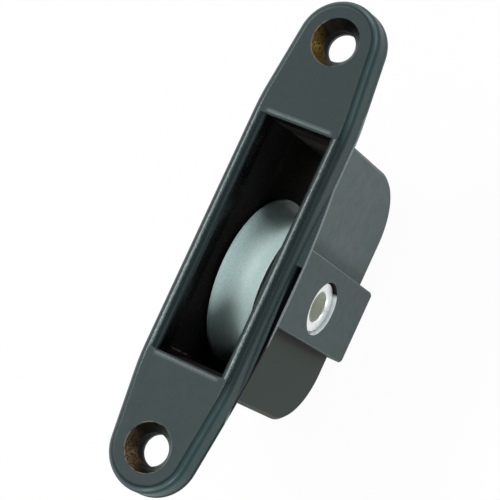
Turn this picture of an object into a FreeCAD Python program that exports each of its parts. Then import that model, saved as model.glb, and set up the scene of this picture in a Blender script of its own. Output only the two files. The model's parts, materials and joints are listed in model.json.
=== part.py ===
import FreeCAD, Part
import math
import os
from FreeCAD import Vector

# A flush sheave box for a mast, boom or deck: a long face frame with a screw hole in each
# round end, a deep narrow housing behind it, and one rope sheave on a tubular axle.
# The origin is midway between the screw holes, on the mating plane under the housing lip.
# +X runs along the frame to the end where the rope passes, +Z points out of the face.
# All sizes are millimetres.

# Face frame
hole_spacing = 86.0
end_radius = 8.8
frame_width = 21.2
straight_length = 56.0
shoulder_radius = 45.0
frame_thickness = 4.8
frame_edge_radius = 1.65
slot_length = 50.4
rail_width = 3.25
slot_end_chamfer = 0.35
rail_flat = 0.1
screw_hole_diameter = 6.6
countersink_diameter = 10.1
countersink_depth = 2.6

# Lip of the housing, which lies under the whole frame and swells beside the bearing pads
lip_thickness = 0.8
lip_margin = 0.15
lip_chamfer = 0.2
swell_centre = -5.5
swell_length = 44.0
swell_height = 1.15
foot_height = 1.2

# Wedge-shaped gap between the frame's foot and the swells, widest at its upper end
gap_start = 0.4
gap_length = 24.2
gap_above = 1.3
gap_below = 0.5
swell_wall = 0.35

# Sheave and axle
axle_x = -4.1
axle_depth = 17.2
axle_diameter = 10.2
axle_bore = 6.4
axle_recess = 0.8
axle_bore_chamfer = 0.3
sheave_diameter = 35.4
sheave_width = 9.5
running_clearance = 0.05
groove_width = 8.3
groove_radius = 4.2
flank_tilt = 42.0
hub_diameter = 16.4
hub_height = 0.35

# Housing
side_clearance = 0.45
cheek_wall = 2.55
upper_end = 27.1
lower_end = 28.2
upper_wall = 2.1
lower_wall = 3.9
housing_depth = 37.9
back_wall = 1.5
corner_radius = 12.5
cavity_corner_radius = 9.5
flare_depth = 4.0
cheek_edge_chamfer = 0.7

# Rope way out through the upper back corner
window_start = 8.0
window_height = 13.5
window_edge_radius = 0.6

# Bearing pads on both cheeks, standing a little proud of the frame's edge
pad_proud = 0.35
pad_upper = 8.8
pad_lower = 7.6
pad_draft = 0.35
pad_corner_radius = 1.0
pad_chamfer = 0.3
counterbore_clearance = 0.5
counterbore_depth = 2.4

# How far cuts run past a face, and how closely an edge has to lie to be picked
over = 1.0
near = 1e-4

# Sizes that follow
frame_top = lip_thickness + frame_thickness
hole_x = hole_spacing / 2
half_frame = frame_width / 2
half_slot = half_frame - rail_width
slot_lip_radius = rail_width - frame_edge_radius - rail_flat
half_sheave = sheave_width / 2
half_cavity = half_sheave + side_clearance
cheek_y = half_cavity + cheek_wall
pad_y = half_frame + pad_proud
axle_z = -axle_depth
axle_half_length = pad_y - axle_recess


def cylinder_z(x, radius, z0, z1):
    return Part.makeCylinder(radius, z1 - z0, Vector(x, 0, z0), Vector(0, 0, 1))


def cylinder_y(radius, y0, y1):
    return Part.makeCylinder(radius, y1 - y0, Vector(axle_x, y0, axle_z), Vector(0, 1, 0))


def line(start, stop):
    return Part.LineSegment(start, stop).toShape()


def arc(start, middle, stop):
    return Part.Arc(start, middle, stop).toShape()


def prism(wire, direction):
    return Part.Face(wire).extrude(direction)


def rounded_wire(corners, radii):
    """Closed wire through the corners, each rounded by its own radius, where 0 leaves it sharp."""
    count = len(corners)
    bends = []
    for i in range(count):
        corner = corners[i]
        back = (corners[i - 1] - corner).normalize()
        ahead = (corners[(i + 1) % count] - corner).normalize()
        half = back.getAngle(ahead) / 2
        reach = radii[i] / math.tan(half)
        middle = corner + (back + ahead).normalize() * (radii[i] / math.sin(half) - radii[i])
        bends.append((corner + back * reach, middle, corner + ahead * reach))
    edges = []
    for i in range(count):
        start, middle, stop = bends[i]
        if radii[i] > 0:
            edges.append(arc(start, middle, stop))
        edges.append(line(stop, bends[(i + 1) % count][0]))
    return Part.Wire(edges)


def profile_prism(corners, radii, half_depth):
    """Prism of a profile given as x and z, reaching half_depth to each side of y = 0."""
    points = [Vector(x, -half_depth, z) for x, z in corners]
    return prism(rounded_wire(points, radii), Vector(0, 2 * half_depth, 0))


def filleted(shape, radius, test):
    return shape.makeFillet(radius, [edge for edge in shape.Edges if test(edge.BoundBox)])


def chamfered(shape, size, test):
    return shape.makeChamfer(size, [edge for edge in shape.Edges if test(edge.BoundBox)])


def at_height(box, z):
    return abs(box.ZMin - z) < near and abs(box.ZMax - z) < near


def plate(margin, z0, thickness):
    """Plate with a straight middle, tapered shoulders and round ends about the screw holes."""
    radius = end_radius + margin
    side = half_frame + margin
    corner = Vector(straight_length / 2, side, z0)
    centre = Vector(hole_x, 0, z0)
    # The shoulder runs from the corner along the tangent to the end circle
    span = corner - centre
    angle = math.atan2(span.y, span.x) - math.acos(radius / span.Length)
    touch = centre + Vector(math.cos(angle), math.sin(angle), 0) * radius
    taper = (touch - corner).normalize()
    half_bend = Vector(1, 0, 0).getAngle(taper) / 2
    reach = shoulder_radius * math.tan(half_bend)
    inset = shoulder_radius / math.cos(half_bend) - shoulder_radius
    before = corner - Vector(reach, 0, 0)
    after = corner + taper * reach
    middle = corner - Vector(math.sin(half_bend), math.cos(half_bend), 0) * inset
    tip = centre + Vector(radius, 0, 0)

    def turned(point, sx, sy):
        return Vector(point.x * sx, point.y * sy, z0)

    edges = []
    for sx in (1, -1):
        for sy in (1, -1):
            edges.append(arc(turned(before, sx, sy), turned(middle, sx, sy), turned(after, sx, sy)))
            edges.append(line(turned(after, sx, sy), turned(touch, sx, sy)))
        edges.append(arc(turned(touch, sx, 1), turned(tip, sx, 1), turned(touch, sx, -1)))
    for sy in (1, -1):
        edges.append(line(turned(before, 1, sy), turned(before, -1, sy)))
    outline = Part.Wire(Part.__sortEdges__(edges))
    return prism(outline, Vector(0, 0, thickness))


def rectangle(x0, x1, half_y, z):
    corners = [Vector(x1, half_y, z), Vector(x0, half_y, z), Vector(x0, -half_y, z), Vector(x1, -half_y, z)]
    return Part.makePolygon(corners + corners[:1])


def face_frame():
    body = plate(0, lip_thickness, frame_thickness)
    body = filleted(body, frame_edge_radius, lambda box: at_height(box, frame_top))
    body = body.fuse(foot()).removeSplitter()

    slot = rectangle(-slot_length / 2, slot_length / 2, half_slot, lip_thickness - over)
    body = body.cut(prism(slot, Vector(0, 0, frame_thickness + 2 * over)))
    body = body.cut(slot_mouth()).cut([slot_end(1), slot_end(-1)])

    hole_r = screw_hole_diameter / 2
    rim_r = countersink_diameter / 2
    rise = (rim_r - hole_r) / countersink_depth
    for x in (-hole_x, hole_x):
        seat = Vector(x, 0, frame_top - countersink_depth)
        cone = Part.makeCone(hole_r, rim_r + rise * over, countersink_depth + over, seat, Vector(0, 0, 1))
        body = body.cut(cylinder_z(x, hole_r, lip_thickness - over, frame_top).fuse(cone))

    return body.cut([joint_gap(1), joint_gap(-1)])


def slot_mouth():
    """Cut that rounds the slot's long edges, as far as its ends."""
    start = frame_top - slot_lip_radius
    side = half_slot + slot_lip_radius
    dip = slot_lip_radius * (1 - math.sqrt(0.5))

    def at(y, z):
        return Vector(-slot_length / 2, y, z)

    edges = [line(at(-half_slot, start), at(half_slot, start)),
             arc(at(half_slot, start), at(half_slot + dip, frame_top - dip), at(side, frame_top)),
             line(at(side, frame_top), at(side, frame_top + over)),
             line(at(side, frame_top + over), at(-side, frame_top + over)),
             line(at(-side, frame_top + over), at(-side, frame_top)),
             arc(at(-side, frame_top), at(-half_slot - dip, frame_top - dip), at(-half_slot, start))]
    return prism(Part.Wire(edges), Vector(slot_length, 0, 0))


def slot_end(side):
    """Cut that breaks the edge at one end of the slot."""
    x = side * slot_length / 2
    slope = side * (slot_end_chamfer + over)
    points = [Vector(x, -half_slot, frame_top - slot_end_chamfer),
              Vector(x + slope, -half_slot, frame_top + over),
              Vector(x, -half_slot, frame_top + over)]
    return prism(Part.makePolygon(points + points[:1]), Vector(0, 2 * half_slot, 0))


def joint_gap(side):
    """Wedge beside the frame along one long edge, cut from its foot and the lip, fading to its lower end."""
    shape = [(gap_start, -gap_below), (gap_start, gap_above), (gap_start - gap_length, 0)]
    points = [Vector(x, side * half_frame, lip_thickness + z) for x, z in shape]
    depth = lip_margin + swell_height + over
    return prism(Part.makePolygon(points + points[:1]), Vector(0, side * depth, 0))


def swell_outline(inset, z):
    """Outline of the bulge of the lip on both sides, with the sides drawn in by the inset."""
    side = half_frame + lip_margin - inset
    crest = side + swell_height
    x0 = swell_centre - swell_length / 2
    x1 = swell_centre + swell_length / 2
    edges = [arc(Vector(x0, side, z), Vector(swell_centre, crest, z), Vector(x1, side, z)),
             line(Vector(x1, side, z), Vector(x1, -side, z)),
             arc(Vector(x1, -side, z), Vector(swell_centre, -crest, z), Vector(x0, -side, z)),
             line(Vector(x0, -side, z), Vector(x0, side, z))]
    return Part.Wire(edges)


def swell(inset):
    return prism(swell_outline(inset, 0), Vector(0, 0, lip_thickness))


def foot():
    """Foot of the frame, which follows the swells and slopes back to the frame's sides."""
    bottom = swell_outline(lip_margin, lip_thickness)
    top = swell_outline(lip_margin + swell_height, lip_thickness + foot_height)
    return Part.makeLoft([bottom, top], True, True)


def lip():
    """Thin plate under the frame, with a shallow swell along each side beside the pads."""
    body = plate(lip_margin, 0, lip_thickness).fuse(swell(0)).removeSplitter()
    body = chamfered(body, lip_chamfer, lambda box: at_height(box, 0) or at_height(box, lip_thickness))
    inner = swell(swell_wall)
    return body.cut([joint_gap(side).common(inner) for side in (1, -1)])


def pad(side):
    """Bearing pad on one cheek, with its upper side drafted towards the back."""
    root = side * (half_cavity + cheek_wall / 2)
    face = side * pad_y
    shape = [(axle_x + pad_upper, 0), (axle_x + pad_upper - pad_draft, -housing_depth),
             (axle_x - pad_lower, -housing_depth), (axle_x - pad_lower, 0)]
    points = [Vector(x, root, z) for x, z in shape]
    outline = rounded_wire(points, [0, pad_corner_radius, pad_corner_radius, 0])
    body = prism(outline, Vector(0, face - root, 0))
    return chamfered(body, pad_chamfer, lambda box: on_pad_face(box, face))


def on_pad_face(box, face):
    return abs(box.YMin - face) < near and abs(box.YMax - face) < near and box.ZMin < -near


def housing():
    shell = [(-lower_end, lip_thickness), (upper_end, lip_thickness), (upper_end, -housing_depth),
             (-lower_end, -housing_depth)]
    body = profile_prism(shell, [0, 0, corner_radius, corner_radius], cheek_y)
    body = chamfered(body, cheek_edge_chamfer, on_cheek_outline)
    body = body.fuse([lip(), pad(1), pad(-1)]).removeSplitter()

    x0 = lower_wall - lower_end
    x1 = upper_end - upper_wall
    z0 = back_wall - housing_depth
    top = lip_thickness + over
    inner = [(x0, top), (x1, top), (x1, z0), (x0, z0)]
    body = body.cut(profile_prism(inner, [0, 0, cavity_corner_radius, cavity_corner_radius], half_cavity))
    # The mouth narrows from the frame's slot to the cavity, so that the rope meets no ledge
    wide = rectangle(-slot_length / 2, slot_length / 2, half_slot, lip_thickness)
    narrow = rectangle(x0, x1, half_cavity, -flare_depth)
    body = body.cut(Part.makeLoft([wide, narrow], True, True))

    window_top = window_height - housing_depth
    reach = upper_end + over
    below = -housing_depth - over
    opening = [(window_start, window_top), (reach, window_top), (reach, below), (window_start, below)]
    body = body.cut(profile_prism(opening, [0] * 4, half_cavity))
    body = filleted(body, window_edge_radius, lambda box: on_window(box, window_top))

    for x in (-hole_x, hole_x):
        body = body.cut(cylinder_z(x, screw_hole_diameter / 2, -over, lip_thickness + over))

    body = body.cut(cylinder_y(axle_diameter / 2, -pad_y - over, pad_y + over))
    mouth = axle_diameter / 2 + counterbore_clearance
    floor = pad_y - counterbore_depth
    return body.cut([cylinder_y(mouth, floor, pad_y + over), cylinder_y(mouth, -pad_y - over, -floor)])


def on_cheek_outline(box):
    return box.YMax - box.YMin < near and box.ZMin < lip_thickness - near


def on_window(box, window_top):
    across = box.YMax - box.YMin > half_cavity and max(box.XMax - box.XMin, box.ZMax - box.ZMin) < near
    at_end_wall = abs(box.ZMin - window_top) < near and box.XMin > window_start + near
    at_back_wall = abs(box.XMin - window_start) < near and box.ZMax < window_top - near
    return across and (at_end_wall or at_back_wall)


def revolve_about_axle(segments):
    """Ring from a closed outline: each segment is two radius and y pairs, or three for an arc."""
    edges = []
    for segment in segments:
        at = [Vector(axle_x + radius, y, axle_z) for radius, y in segment]
        edges.append(line(*at) if len(at) == 2 else arc(*at))
    face = Part.Face(Part.Wire(edges))
    return face.revolve(Vector(axle_x, 0, axle_z), Vector(0, 1, 0), 360)


def axle_tube():
    inner = axle_bore / 2
    outer = axle_diameter / 2
    end = axle_half_length
    c = axle_bore_chamfer
    outline = [(inner, c - end), (inner + c, -end), (outer, -end), (outer, end), (inner + c, end), (inner, end - c)]
    return revolve_about_axle(list(zip(outline, outline[1:] + outline[:1])))


def sheave():
    bore = axle_diameter / 2 + running_clearance
    hub_r = hub_diameter / 2
    hub_y = half_sheave + hub_height
    rim_r = sheave_diameter / 2
    # The groove has a round bottom between straight flanks, which touch it without a corner
    groove_y = groove_width / 2
    tilt = math.radians(flank_tilt)
    flank_y = groove_radius * math.sin(tilt)
    flank_r = rim_r - (groove_y - flank_y) * math.tan(tilt)
    bottom_r = flank_r - groove_radius * (1 - math.cos(tilt))
    half = [(bore, hub_y), (hub_r, hub_y), (hub_r, half_sheave), (rim_r, half_sheave), (rim_r, groove_y),
            (flank_r, flank_y)]
    other = [(radius, -y) for radius, y in reversed(half)]
    segments = [(half[i], half[i + 1]) for i in range(len(half) - 1)]
    segments.append((half[-1], (bottom_r, 0), other[0]))
    segments += [(other[i], other[i + 1]) for i in range(len(other) - 1)]
    segments.append((other[-1], half[0]))
    return revolve_about_axle(segments)


os.makedirs("parts", exist_ok=True)
pieces = {"face_frame": face_frame(), "housing": housing(), "axle_tube": axle_tube(), "sheave": sheave()}
for name, shape in pieces.items():
    solid = shape.Solids[0]
    print(name, len(shape.Solids), "solid, valid", solid.isValid(), "volume", round(solid.Volume, 1))
    solid.exportStep("parts/" + name + ".step")
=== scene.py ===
import json
import math

import bpy
from mathutils import Matrix, Vector


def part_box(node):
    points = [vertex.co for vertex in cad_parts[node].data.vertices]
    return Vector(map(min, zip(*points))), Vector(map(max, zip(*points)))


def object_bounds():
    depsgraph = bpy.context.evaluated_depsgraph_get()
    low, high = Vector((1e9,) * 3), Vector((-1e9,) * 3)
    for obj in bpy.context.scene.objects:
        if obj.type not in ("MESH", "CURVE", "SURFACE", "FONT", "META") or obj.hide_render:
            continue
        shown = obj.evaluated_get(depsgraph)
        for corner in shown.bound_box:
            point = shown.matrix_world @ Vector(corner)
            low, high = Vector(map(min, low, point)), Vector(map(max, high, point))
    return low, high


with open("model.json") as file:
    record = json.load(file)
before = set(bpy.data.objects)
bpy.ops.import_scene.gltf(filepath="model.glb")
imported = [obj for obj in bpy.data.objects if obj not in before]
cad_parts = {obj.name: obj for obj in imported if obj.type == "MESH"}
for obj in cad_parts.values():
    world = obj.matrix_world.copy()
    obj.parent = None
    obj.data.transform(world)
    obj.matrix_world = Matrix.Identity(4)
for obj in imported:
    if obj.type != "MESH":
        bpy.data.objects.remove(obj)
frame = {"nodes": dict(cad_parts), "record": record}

# A flush sheave box on a pale floor, in soft studio light that comes mostly from its far side.
# Lengths are metres, and small ones are written in millimetres times MM. Angles are degrees.
# Colours are linear red, green and blue, and materials' colours have alpha too.
MM = 0.001

# Camera, at the photograph's viewing angle
camera_azimuth = -9.53
camera_elevation = 63.33
camera_roll = -56.66
camera_distance = 388.9 * MM
camera_aim = Vector((-0.25, 0.50, 0.23)) * MM
camera_lens = 144.0
camera_sensor = 36.0
camera_clip = (0.01, 20.0)

# Lamps: name, azimuth from +X towards +Y, elevation, sides, power and colour
lamp_distance = 0.80
lamps = (
    ("key", 72, 48, (0.50, 0.20), 3.3, (1.0, 1.0, 0.98)),
    ("strip", 90, 64, (0.09, 0.46), 2.0, (1.0, 1.0, 0.98)),
    ("back", 0, 25, (0.20, 0.20), 2.2, (1.0, 1.0, 1.0)),
    ("front", 180, 25, (0.20, 0.20), 2.5, (1.0, 1.0, 1.0)),
    ("near", 225, 25, (0.20, 0.20), 2.3, (0.90, 0.98, 1.0)),
    ("side", 315, 25, (0.20, 0.20), 1.5, (0.82, 0.96, 1.0)),
)
world_colour = (0.95, 0.98, 1.0, 1)
world_strength = 0.02

# Backdrop: its profile as distance from the middle and height, and its looks
backdrop_profile = ((0.01, 0.0), (2.2, 0.0), (2.6, 0.1), (2.8, 0.4), (2.85, 1.6))
backdrop_steps = 96
backdrop_colour = (0.82, 0.82, 0.81, 1)
backdrop_glow = 0.95

# Places on the object that the materials need
cad_low, cad_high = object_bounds()
frame_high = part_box("face_frame")[1]
sheave_low, sheave_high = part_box("sheave")
sheave_radius = (sheave_high.x - sheave_low.x) / 2
mounts = {mount["name"]: mount for mount in frame["record"]["mounts"]}
hole_x = mounts["screw_holes"]["dims"]["spacing_x_mm"] / 2 * MM
axle_centre = Vector(mounts["axle_bore"]["pos_m"])
bore_radius = mounts["axle_bore"]["dims"]["r_mm"] * MM
countersink_radius = 5.05 * MM
counterbore_radius = 5.62 * MM
half_slot = Vector((25.2, 7.35, 0)) * MM
cavity_centre = Vector((0.3, 0, -5.0)) * MM

# Direction from a screw hole's middle to the side of its countersink that is painted as lit gold
lit_gold_direction = Vector((-0.60, 0.80))

# Places on X
flank_start = half_slot.x + 2.0 * MM
joint_end = 0.4 * MM
pad_lower_end = -11.7 * MM
pad_upper_end = 4.7 * MM
counterbore_shade = axle_centre.x + 3.6 * MM
cavity_glint_line = -23.75 * MM
cavity_pale_start = 15.0 * MM

# Distances from the middle plane, on Y
past_cheeks = 7.9 * MM
counterbore_floor = 8.5 * MM
foot_side = 9.0 * MM
lip_side = 10.2 * MM
joint_sides = (10.4 * MM, 11.62 * MM)

# Heights, on Z
countersink_floor = frame_high.z - 2.6 * MM
slot_lip_bottom = frame_high.z - 0.8 * MM
foot_top = 2.05 * MM
joint_heights = (0.2 * MM, 0.9 * MM)
lip_bottom = -0.85 * MM
cavity_pale_top = -5.0 * MM

# How wide the edge of a mask is where nothing else is said, and how wide the frame's change of
# tone from its lower to its upper end is
edge = 0.1 * MM
tone_change = 50.0 * MM

# Slopes on the face frame, as the share of the surface's normal that points out of the face:
# limits with the softness of their step, then bands with their middle and half width
flat_slope = (0.999, 0.001)
side_slope = (0.52, 0.5)
crease_slope = (0.97, 0.035)
# Band of the flanks' rounded edge where a highlight is painted
flank_highlight_slope = (0.66, 0.34)
foot_slope = (0.7, 0.28)
# Under this slope, and where this share of the normal points outwards, a side mirrors the floor
mirroring_slope = 0.63
outward_share = 0.2

# How strongly each surface mirrors, where 0.5 is plain plastic
paint_mirror = 0.38
paint_side_mirror = 0.10
housing_mirror = 0.2

# Colours of the face frame
matt_dark = (0.027, 0.037, 0.040, 1)
matt_pale = (0.038, 0.050, 0.054, 1)
matt_upper = (0.025, 0.034, 0.037, 1)
shiny_dark = (0.014, 0.021, 0.022, 1)
shiny_pale = (0.021, 0.030, 0.032, 1)
shiny_flank = (0.016, 0.029, 0.032, 1)
# Painted highlight on the flanks' rounded edges
flank_highlight = (0.058, 0.092, 0.096, 1)
# Painted light: the sides' own tones stand in for how light falls on them
rail_side_light = (0.022, 0.036, 0.038, 1)
flank_side_light = (0.030, 0.054, 0.056, 1)
# Painted light on the foot, paler paint to lift its shade
foot_light = (0.032, 0.048, 0.052, 1)
# Painted shade in the crease at the flats' edge
crease_shade = (0.002, 0.003, 0.003, 1)
# Painted highlight along the slot's ends
mouth_highlight = (0.15, 0.17, 0.172, 1)
# Painted shade inside the slot
slot_shade = (0.003, 0.003, 0.003, 1)
# Countersinks: bare metal painted as lit gold on one side and in painted shade on the rest
lower_lit_gold = (0.12, 0.080, 0.042, 1)
upper_lit_gold = (0.20, 0.115, 0.028, 1)
countersink_shade = (0.005, 0.003, 0.002, 1)
hole_wall = (0.012, 0.010, 0.008, 1)
# Painted highlight on the countersinks' rims
hole_rim_highlight = (0.26, 0.20, 0.12, 1)
paint_tint = (0.84, 1.0, 0.98, 1)

# Colours of the housing
pad_dark = (0.040, 0.064, 0.059, 1)
pad_pale = (0.062, 0.080, 0.084, 1)
cheek_green = (0.070, 0.104, 0.092, 1)
cheek_violet = (0.112, 0.120, 0.134, 1)
housing_skin = (0.070, 0.098, 0.092, 1)
# Painted shade on the cheek below the pads
lower_cheek_shade = (0.013, 0.024, 0.017, 1)
pad_shadow = (0.004, 0.004, 0.003, 1)
# Painted highlight along the pads' upper edge and the lip
edge_highlight = (0.25, 0.28, 0.30, 1)
# Painted shade in the joint under the frame
joint_shade = (0.003, 0.003, 0.003, 1)
# Painted shade in the cavity, near black with brown specks and paler in a patch at its upper end
cavity_shade = (0.001, 0.001, 0.001, 1)
cavity_brown = (0.010, 0.007, 0.005, 1)
cavity_pale = (0.045, 0.036, 0.030, 1)
# Painted golden glint on one line at the cavity's lower end
cavity_glint = (0.16, 0.10, 0.045, 1)
counterbore_metal = (0.90, 0.91, 0.90, 1)
counterbore_black = (0.004, 0.004, 0.004, 1)

# Colours of the axle and the sheave
aluminium = (0.84, 0.86, 0.86, 1)
aluminium_bore = (0.78, 0.79, 0.71, 1)
plastic_dark = (0.42, 0.55, 0.54, 1)
plastic_pale = (0.49, 0.62, 0.60, 1)
plastic_grain = (0.22, 0.31, 0.31, 1)
# Painted highlight on the sheave's rim
plastic_rim_highlight = (0.75, 0.85, 0.84, 1)


def add(tree, kind, inputs=None, **properties):
    """New node with its properties set, and its inputs given as values or linked from sockets."""
    node = tree.nodes.new(kind)
    for key, value in properties.items():
        setattr(node, key, value)
    for key, value in (inputs or {}).items():
        fill(tree, node.inputs[key], value)
    return node


def fill(tree, socket, value):
    if isinstance(value, bpy.types.NodeSocket):
        tree.links.new(value, socket)
    else:
        socket.default_value = value


def calculate(tree, operation, first, second=0.0):
    return add(tree, "ShaderNodeMath", {0: first, 1: second}, operation=operation).outputs[0]


def scaled(tree, value, factor):
    return calculate(tree, "MULTIPLY", value, factor)


def size_of(tree, value):
    return calculate(tree, "ABSOLUTE", value)


def highest(tree, first, *others):
    for other in others:
        first = calculate(tree, "MAXIMUM", first, other)
    return first


def vector_math(tree, operation, first, second=(0, 0, 0)):
    return add(tree, "ShaderNodeVectorMath", {0: first, 1: second}, operation=operation).outputs


def remap(tree, value, low, high, to_low=0.0, to_high=1.0):
    """Value carried from one range to another, and held inside it."""
    inputs = {"Value": value, "From Min": low, "From Max": high,
              "To Min": to_low, "To Max": to_high}
    return add(tree, "ShaderNodeMapRange", inputs).outputs["Result"]


def noise(tree, place, size, detail=3.0, roughness=0.55):
    """Noise whose features are about size across."""
    inputs = {"Vector": place, "Scale": 1 / size, "Detail": detail, "Roughness": roughness}
    return add(tree, "ShaderNodeTexNoise", inputs).outputs["Fac"]


def blend(tree, amount, first, second):
    """Colour between two colours, which are inputs 6 and 7 of a mix node made for colours."""
    node = add(tree, "ShaderNodeMix", data_type="RGBA")
    for index, value in ((0, amount), (6, first), (7, second)):
        fill(tree, node.inputs[index], value)
    return node.outputs[2]


def bump(tree, height, depth, normal=None):
    inputs = {"Height": height, "Distance": depth, "Strength": 1.0}
    if normal is not None:
        inputs["Normal"] = normal
    return add(tree, "ShaderNodeBump", inputs).outputs["Normal"]


def coordinates(tree, place):
    return add(tree, "ShaderNodeSeparateXYZ", {0: place}).outputs


def geometry(tree):
    return add(tree, "ShaderNodeNewGeometry").outputs


def distance_from_axis(tree, place, centre, axis):
    """Distance from a line through the centre along X, Y or Z, given as 0, 1 or 2."""
    flat = Vector((1, 1, 1))
    flat[axis] = 0
    moved = vector_math(tree, "SUBTRACT", place, centre)[0]
    across = vector_math(tree, "MULTIPLY", moved, flat)[0]
    return vector_math(tree, "LENGTH", across)["Value"]


def mirrored(tree, place):
    """The place folded over on X, so that both ends of the frame are made alike."""
    parts = coordinates(tree, place)
    inputs = {"X": size_of(tree, parts["X"]), "Y": parts["Y"], "Z": parts["Z"]}
    return add(tree, "ShaderNodeCombineXYZ", inputs).outputs[0]


def below(tree, value, limit, softness=edge):
    """1 where the value is under the limit, 0 above it, and a soft step between."""
    return remap(tree, value, limit + softness / 2, limit - softness / 2)


def above(tree, value, limit, softness=edge):
    """0 where the value is under the limit, 1 above it, and a soft step between."""
    return remap(tree, value, limit - softness / 2, limit + softness / 2)


def near(tree, value, centre, half_width):
    """1 at the centre, falling to 0 at half_width from it."""
    away = size_of(tree, calculate(tree, "SUBTRACT", value, centre))
    return remap(tree, away, 0.0, half_width, 1.0, 0.0)


def overlap(tree, first, *others):
    """Mask that is 1 only where all the masks are."""
    for other in others:
        first = calculate(tree, "MULTIPLY", first, other)
    return first


def in_slot(tree, place, margin):
    """1 inside the slot's outline, seen from above."""
    parts = coordinates(tree, place)
    along = below(tree, size_of(tree, parts["X"]), half_slot.x + margin)
    across = below(tree, size_of(tree, parts["Y"]), half_slot.y + margin)
    return overlap(tree, along, across)


def rings(tree, distance, pitch, wobble, wander=9.0):
    """Fine turning marks, as waves of the distance, which wander by some radians with the noise."""
    phase = scaled(tree, distance, 2 * math.pi / pitch)
    shift = scaled(tree, wobble, wander)
    return calculate(tree, "SINE", calculate(tree, "ADD", phase, shift))


def start_material(name):
    """Empty material with a Principled shader, and the place on the object as its coordinates."""
    material = bpy.data.materials.new(name)
    material.use_nodes = True
    tree = material.node_tree
    shader = tree.nodes["Principled BSDF"]
    place = add(tree, "ShaderNodeTexCoord").outputs["Object"]
    return material, tree, shader, place


def connect(tree, shader, colour, metallic, roughness, normal):
    sockets = {"Base Color": colour, "Metallic": metallic, "Roughness": roughness,
               "Normal": normal}
    for name, value in sockets.items():
        fill(tree, shader.inputs[name], value)


def frame_paint(tree, place, skin, patches, ends, flat, flanks):
    """Colour of the paint: painted shade in the crease and slot, painted light on flanks, sides,
    foot and slot ends.
    """
    parts = coordinates(tree, place)
    across = size_of(tree, parts["Y"])
    slope = coordinates(tree, geometry(tree)["Normal"])["Z"]

    matt = blend(tree, patches, matt_dark, matt_pale)
    matt = blend(tree, above(tree, parts["X"], 0, tone_change), matt, matt_upper)
    shiny = blend(tree, patches, shiny_dark, shiny_pale)
    shiny = blend(tree, flanks, shiny, shiny_flank)
    paint = blend(tree, flat, shiny, matt)

    # Painted highlight on the flanks' rounded edges
    painted_highlight = overlap(tree, flanks, near(tree, slope, *flank_highlight_slope),
                   remap(tree, patches, 0.3, 0.7, 0.6, 1.0))
    paint = blend(tree, painted_highlight, paint, flank_highlight)
    # Painted light: the sides get their own tone for how light falls on them
    side = below(tree, slope, *side_slope)
    paint = blend(tree, side, paint, blend(tree, flanks, rail_side_light, flank_side_light))
    # Painted light: the foot is painted paler to lift its shade
    foot = overlap(tree, below(tree, parts["Z"], foot_top), near(tree, slope, *foot_slope),
                   above(tree, across, foot_side))
    paint = blend(tree, foot, paint, foot_light)
    # Painted shade in the crease at the flats' edge
    crease = overlap(tree, ends, near(tree, slope, *crease_slope))
    paint = blend(tree, scaled(tree, crease, 0.8), paint, crease_shade)

    # Painted highlight along the slot's ends
    lit_mouth = overlap(tree, flat, below(tree, across, half_slot.y, 0.8 * MM),
                    near(tree, size_of(tree, parts["X"]), half_slot.x + 0.6 * MM, 0.7 * MM),
                    remap(tree, skin, 0.35, 0.65, 0.4, 1.0))
    paint = blend(tree, lit_mouth, paint, mouth_highlight)
    # Painted shade inside the slot
    inside = overlap(tree, in_slot(tree, place, 0.05 * MM),
                     below(tree, parts["Z"], slot_lip_bottom, 0.8 * MM))
    return blend(tree, inside, paint, slot_shade)


def countersink_colour(tree, place, reach, hole):
    """Colour of the bare metal, painted lit gold on one side and in shade elsewhere, and its rim
    highlight mask.
    """
    parts = coordinates(tree, place)
    upper = above(tree, parts["X"], 0, 1.0 * MM)
    lower = below(tree, parts["X"], 0, 1.0 * MM)
    past_hole = calculate(tree, "SUBTRACT", size_of(tree, parts["X"]), hole_x)
    from_hole = calculate(tree, "MULTIPLY", calculate(tree, "SIGN", parts["X"]), past_hole)
    sideways = calculate(tree, "ADD", scaled(tree, from_hole, lit_gold_direction.x),
                         scaled(tree, parts["Y"], lit_gold_direction.y))
    # Bare metal painted as lit gold on one side and in painted shade on the rest
    golden_light = overlap(tree, remap(tree, noise(tree, place, 0.40 * MM), 0.36, 0.58, 0.15, 1.0),
                   remap(tree, sideways, 1.8 * MM, 4.4 * MM))
    metal = blend(tree, golden_light, countersink_shade, blend(tree, upper, lower_lit_gold, upper_lit_gold))
    metal = blend(tree, hole, metal, hole_wall)
    # Painted highlight on the countersink's rim
    rim_highlight = overlap(tree, near(tree, reach, countersink_radius - 0.05 * MM, 0.12 * MM),
                  remap(tree, noise(tree, place, 1.2 * MM), 0.40, 0.55),
                  highest(tree, lower, remap(tree, sideways, 0, 2.5 * MM)))
    return metal, rim_highlight


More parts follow.
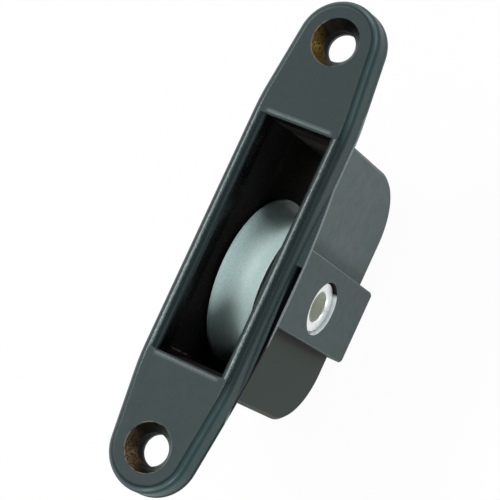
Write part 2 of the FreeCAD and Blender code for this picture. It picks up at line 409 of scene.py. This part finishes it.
def painted_casting():
    """Slate paint on a fine cast skin: matt on the ends, shiny on the rails, bare in the holes."""
    material, tree, shader, place = start_material("painted_casting")
    parts = coordinates(tree, place)
    long_way = size_of(tree, parts["X"])
    skin = noise(tree, place, 0.22 * MM)
    patches = noise(tree, place, 3.0 * MM)
    slope = coordinates(tree, geometry(tree)["True Normal"])["Z"]
    ends = above(tree, long_way, half_slot.x)
    flat = overlap(tree, above(tree, slope, *flat_slope), ends)
    flanks = above(tree, long_way, flank_start, 6.0 * MM)
    reach = distance_from_axis(tree, mirrored(tree, place), (hole_x, 0, 0), 2)
    bare = remap(tree, reach, countersink_radius, countersink_radius - 0.15 * MM)
    hole = below(tree, parts["Z"], countersink_floor, 0.2 * MM)

    paint = frame_paint(tree, place, skin, patches, ends, flat, flanks)
    metal, rim_highlight = countersink_colour(tree, place, reach, hole)
    # Painted highlight on the countersinks' rims
    colour = blend(tree, rim_highlight, blend(tree, bare, paint, metal), hole_rim_highlight)

    gloss = remap(tree, skin, 0.38, 0.62, 0.16, 0.30)
    dulled = highest(tree, scaled(tree, flat, 0.48), scaled(tree, flanks, 0.18),
                     scaled(tree, overlap(tree, hole, bare), 0.6))
    marks = overlap(tree, rings(tree, reach, 0.16 * MM, patches), bare)
    height = calculate(tree, "ADD", skin, scaled(tree, marks, 0.4))
    connect(tree, shader, colour, metallic=scaled(tree, bare, 0.9),
            roughness=calculate(tree, "ADD", gloss, dulled),
            normal=bump(tree, height, 0.018 * MM, bump(tree, patches, 0.05 * MM)))
    shader.inputs["Specular IOR Level"].default_value = paint_mirror
    shader.inputs["Specular Tint"].default_value = paint_tint
    return material


def housing_outside(tree, place, skin):
    """Colour of the mottled outside, with painted shade and shadow below the pads, edge highlights
    and joint shade.
    """
    parts = coordinates(tree, place)
    across = size_of(tree, parts["Y"])
    blotches = remap(tree, noise(tree, place, 2.2 * MM, detail=6.0, roughness=0.65), 0.36, 0.64)
    pads = blend(tree, blotches, pad_dark, pad_pale)
    cheeks = blend(tree, blotches, cheek_green, cheek_violet)
    colour = blend(tree, above(tree, parts["X"], pad_upper_end), pads, cheeks)
    colour = blend(tree, remap(tree, skin, 0.35, 0.65, 0.0, 0.3), colour, housing_skin)
    # Painted shade on the cheek below the pads, and a painted shadow at its top
    lower = below(tree, parts["X"], pad_lower_end)
    colour = blend(tree, lower, colour, lower_cheek_shade)
    shadow = overlap(tree, lower, above(tree, parts["X"], pad_lower_end - 1.3 * MM, 0.8 * MM))
    colour = blend(tree, shadow, colour, pad_shadow)

    # Painted highlights along the pad's upper edge and the lip
    pad_line = overlap(tree, above(tree, across, past_cheeks),
                       near(tree, parts["X"], pad_upper_end - 0.1 * MM, 0.25 * MM))
    lip_line = overlap(tree, above(tree, across, lip_side), above(tree, parts["Z"], lip_bottom))
    painted_highlight = overlap(tree, highest(tree, pad_line, lip_line), remap(tree, skin, 0.3, 0.6, 0.4, 1.0))
    colour = blend(tree, painted_highlight, colour, edge_highlight)

    # Painted shade in the joint under the frame
    joint = overlap(tree, above(tree, across, joint_sides[0], 0.05 * MM),
                    below(tree, across, joint_sides[1], 0.05 * MM),
                    above(tree, parts["Z"], joint_heights[0]),
                    below(tree, parts["Z"], joint_heights[1]), below(tree, parts["X"], joint_end))
    return blend(tree, joint, colour, joint_shade)


def cavity_colour(tree, place):
    """Colour of the cavity: painted shade, near black, paler at its upper end, with a painted glint
    at its lower.
    """
    parts = coordinates(tree, place)
    specks = remap(tree, noise(tree, place, 0.5 * MM), 0.5, 0.7)
    colour = blend(tree, specks, cavity_shade, cavity_brown)
    # Paler patch in the painted shade at the cavity's upper end
    paler_patch = overlap(tree, above(tree, parts["X"], cavity_pale_start, 5.0 * MM),
                    below(tree, parts["Z"], cavity_pale_top, 2.0 * MM),
                    remap(tree, noise(tree, place, 0.3 * MM), 0.4, 0.65, 0.2, 1.0))
    colour = blend(tree, paler_patch, colour, cavity_pale)
    # Painted golden glint on one line at the cavity's lower end
    golden_light = overlap(tree, near(tree, parts["X"], cavity_glint_line, 0.25 * MM),
                   remap(tree, noise(tree, place, 1.1 * MM), 0.42, 0.58))
    return blend(tree, golden_light, colour, cavity_glint)


def dark_housing():
    """Dark moulded plastic, in painted shade inside, with bare metal in the counterbores."""
    material, tree, shader, place = start_material("dark_housing")
    parts = coordinates(tree, place)
    skin = noise(tree, place, 0.25 * MM)
    patches = noise(tree, place, 5.0 * MM)
    inwards = vector_math(tree, "SUBTRACT", cavity_centre, place)[0]
    facing = vector_math(tree, "DOT_PRODUCT", geometry(tree)["True Normal"], inwards)["Value"]
    inside = overlap(tree, in_slot(tree, place, 0.2 * MM), above(tree, facing, 0, 0.01 * MM))
    colour = blend(tree, inside, housing_outside(tree, place, skin), cavity_colour(tree, place))

    reach = distance_from_axis(tree, place, axle_centre, 1)
    counterbore = below(tree, reach, counterbore_radius, 0.04 * MM)
    bare = overlap(tree, counterbore, above(tree, size_of(tree, parts["Y"]), counterbore_floor))
    colour = blend(tree, bare, colour, counterbore_metal)
    shade = overlap(tree, counterbore, above(tree, parts["X"], counterbore_shade, 0.8 * MM))
    colour = blend(tree, shade, colour, counterbore_black)
    connect(tree, shader, colour, metallic=scaled(tree, bare, 0.1),
            roughness=highest(tree, remap(tree, skin, 0.3, 0.7, 0.45, 0.60), inside),
            normal=bump(tree, skin, 0.010 * MM, bump(tree, patches, 0.04 * MM)))
    shader.inputs["Specular IOR Level"].default_value = housing_mirror
    return material


def bare_aluminium():
    """Machined aluminium with turning marks on its ends and a dull brown bore."""
    material, tree, shader, place = start_material("bare_aluminium")
    reach = distance_from_axis(tree, place, axle_centre, 1)
    patches = noise(tree, place, 1.5 * MM)
    marks = rings(tree, reach, 0.14 * MM, patches)
    inside = remap(tree, reach, bore_radius + 0.06 * MM, bore_radius)
    connect(tree, shader, blend(tree, inside, aluminium, aluminium_bore),
            metallic=remap(tree, inside, 0.0, 1.0, 0.9, 0.6),
            roughness=remap(tree, patches, 0.3, 0.7, 0.26, 0.38),
            normal=bump(tree, marks, 0.004 * MM))
    return material


def grey_plastic():
    """Grey turned plastic: fine marks across its width, a matt grain and a painted highlight on its
    rim.
    """
    material, tree, shader, place = start_material("grey_plastic")
    parts = coordinates(tree, place)
    reach = distance_from_axis(tree, place, axle_centre, 1)
    grain = noise(tree, place, 0.30 * MM, detail=4.0, roughness=0.7)
    patches = noise(tree, place, 4.0 * MM)
    marks = rings(tree, parts["Y"], 0.42 * MM, patches)
    colour = blend(tree, patches, plastic_dark, plastic_pale)
    colour = blend(tree, remap(tree, grain, 0.35, 0.65, 0.5, 0.0), colour, plastic_grain)
    across = size_of(tree, parts["Y"])
    # Painted highlight on the sheave's rim
    rim_highlight = overlap(tree, above(tree, across, sheave_high.y - 0.35 * MM, 0.2 * MM),
                  above(tree, reach, sheave_radius - 0.5 * MM, 0.4 * MM))
    colour = blend(tree, scaled(tree, rim_highlight, 0.5), colour, plastic_rim_highlight)
    height = calculate(tree, "ADD", grain, scaled(tree, marks, 0.35))
    connect(tree, shader, colour, metallic=0.0,
            roughness=remap(tree, grain, 0.3, 0.7, 0.45, 0.60),
            normal=bump(tree, height, 0.022 * MM))
    return material


def dress(node, material):
    materials = frame["nodes"][node].data.materials
    materials.clear()
    materials.append(material)


def dress_sides(node, material):
    """Duller copy of the material on the node's outward sides, which would mirror the floor."""
    dull = material.copy()
    dull.name = material.name + "_side"
    shader = dull.node_tree.nodes["Principled BSDF"]
    shader.inputs["Specular IOR Level"].default_value = paint_side_mirror
    data = frame["nodes"][node].data
    data.materials.append(dull)
    dull_slot = len(data.materials) - 1
    for polygon in data.polygons:
        middle = polygon.center
        nearest_x = max(-hole_x, min(hole_x, middle.x))
        outward = Vector((middle.x - nearest_x, middle.y, 0)).normalized()
        if polygon.normal.z < mirroring_slope and polygon.normal.dot(outward) > outward_share:
            polygon.material_index = dull_slot


def seen(tree):
    """1 for what the camera, a reflection or a clear material sees, and 0 for the light cast."""
    path = add(tree, "ShaderNodeLightPath").outputs
    total = calculate(tree, "ADD", path["Is Camera Ray"], path["Is Glossy Ray"])
    total = calculate(tree, "ADD", total, path["Is Transmission Ray"])
    return calculate(tree, "MINIMUM", total, 1.0)


def make_backdrop():
    """Pale floor that curves up into a low round wall, seen almost white, with a soft shadow."""
    turns = [2 * math.pi * step / backdrop_steps for step in range(backdrop_steps)]
    points = [(reach * math.cos(turn), reach * math.sin(turn), cad_low.z + rise)
              for reach, rise in backdrop_profile for turn in turns]
    faces = [tuple(range(backdrop_steps))]
    for ring in range(len(backdrop_profile) - 1):
        for step in range(backdrop_steps):
            first = ring * backdrop_steps + step
            second = ring * backdrop_steps + (step + 1) % backdrop_steps
            faces.append((first, first + backdrop_steps, second + backdrop_steps, second))
    mesh = bpy.data.meshes.new("backdrop")
    mesh.from_pydata(points, [], faces)
    backdrop = bpy.data.objects.new("backdrop", mesh)
    bpy.context.scene.collection.objects.link(backdrop)

    material, tree, shader, _ = start_material("pale_backdrop")
    shader.inputs["Base Color"].default_value = backdrop_colour
    shader.inputs["Roughness"].default_value = 0.9
    white = {"Color": (1, 1, 1, 1), "Strength": 1.0}
    glow = add(tree, "ShaderNodeEmission", white).outputs[0]
    amount = scaled(tree, seen(tree), backdrop_glow)
    mixed = add(tree, "ShaderNodeMixShader", {0: amount, 1: shader.outputs[0], 2: glow})
    tree.links.new(mixed.outputs[0], tree.nodes["Material Output"].inputs["Surface"])
    mesh.materials.append(material)


def make_world():
    """Very dim even light all round."""
    world = bpy.data.worlds.new("studio")
    world.use_nodes = True
    light = world.node_tree.nodes["Background"]
    light.inputs["Color"].default_value = world_colour
    light.inputs["Strength"].default_value = world_strength
    bpy.context.scene.world = world


def area_light(name, azimuth, elevation, sides, power, colour):
    """Soft rectangular lamp facing the object."""
    data = bpy.data.lights.new(name, "AREA")
    data.shape = "RECTANGLE"
    data.size, data.size_y = sides
    data.energy = power
    data.color = colour
    lamp = bpy.data.objects.new(name, data)
    turn, rise = math.radians(azimuth), math.radians(elevation)
    towards = Vector((math.cos(rise) * math.cos(turn), math.cos(rise) * math.sin(turn),
                      math.sin(rise)))
    lamp.location = towards * lamp_distance
    lamp.rotation_mode = "QUATERNION"
    lamp.rotation_quaternion = (-towards).to_track_quat("-Z", "Y")
    bpy.context.scene.collection.objects.link(lamp)


def make_camera():
    """Camera that looks at the object from its azimuth, where 0 is -Y, and its elevation."""
    data = bpy.data.cameras.new("camera")
    data.lens = camera_lens
    data.sensor_width = camera_sensor
    data.clip_start, data.clip_end = camera_clip
    camera = bpy.data.objects.new("camera", data)
    turn, rise = math.radians(camera_azimuth), math.radians(camera_elevation)
    back = Vector((math.sin(turn) * math.cos(rise), -math.cos(turn) * math.cos(rise),
                   math.sin(rise)))
    level = (-back).to_track_quat("-Z", "Y").to_matrix().to_4x4()
    roll = Matrix.Rotation(math.radians(camera_roll), 4, "Z")
    stand = Matrix.Translation(camera_aim + back * camera_distance)
    camera.matrix_world = stand @ level @ roll
    bpy.context.scene.collection.objects.link(camera)
    bpy.context.scene.camera = camera


casting = painted_casting()
dress("face_frame", casting)
dress_sides("face_frame", casting)
dress("housing", dark_housing())
dress("axle_tube", bare_aluminium())
dress("sheave", grey_plastic())
make_backdrop()
make_world()
for lamp in lamps:
    area_light(*lamp)
make_camera()
bpy.context.scene.view_settings.view_transform = "Standard"
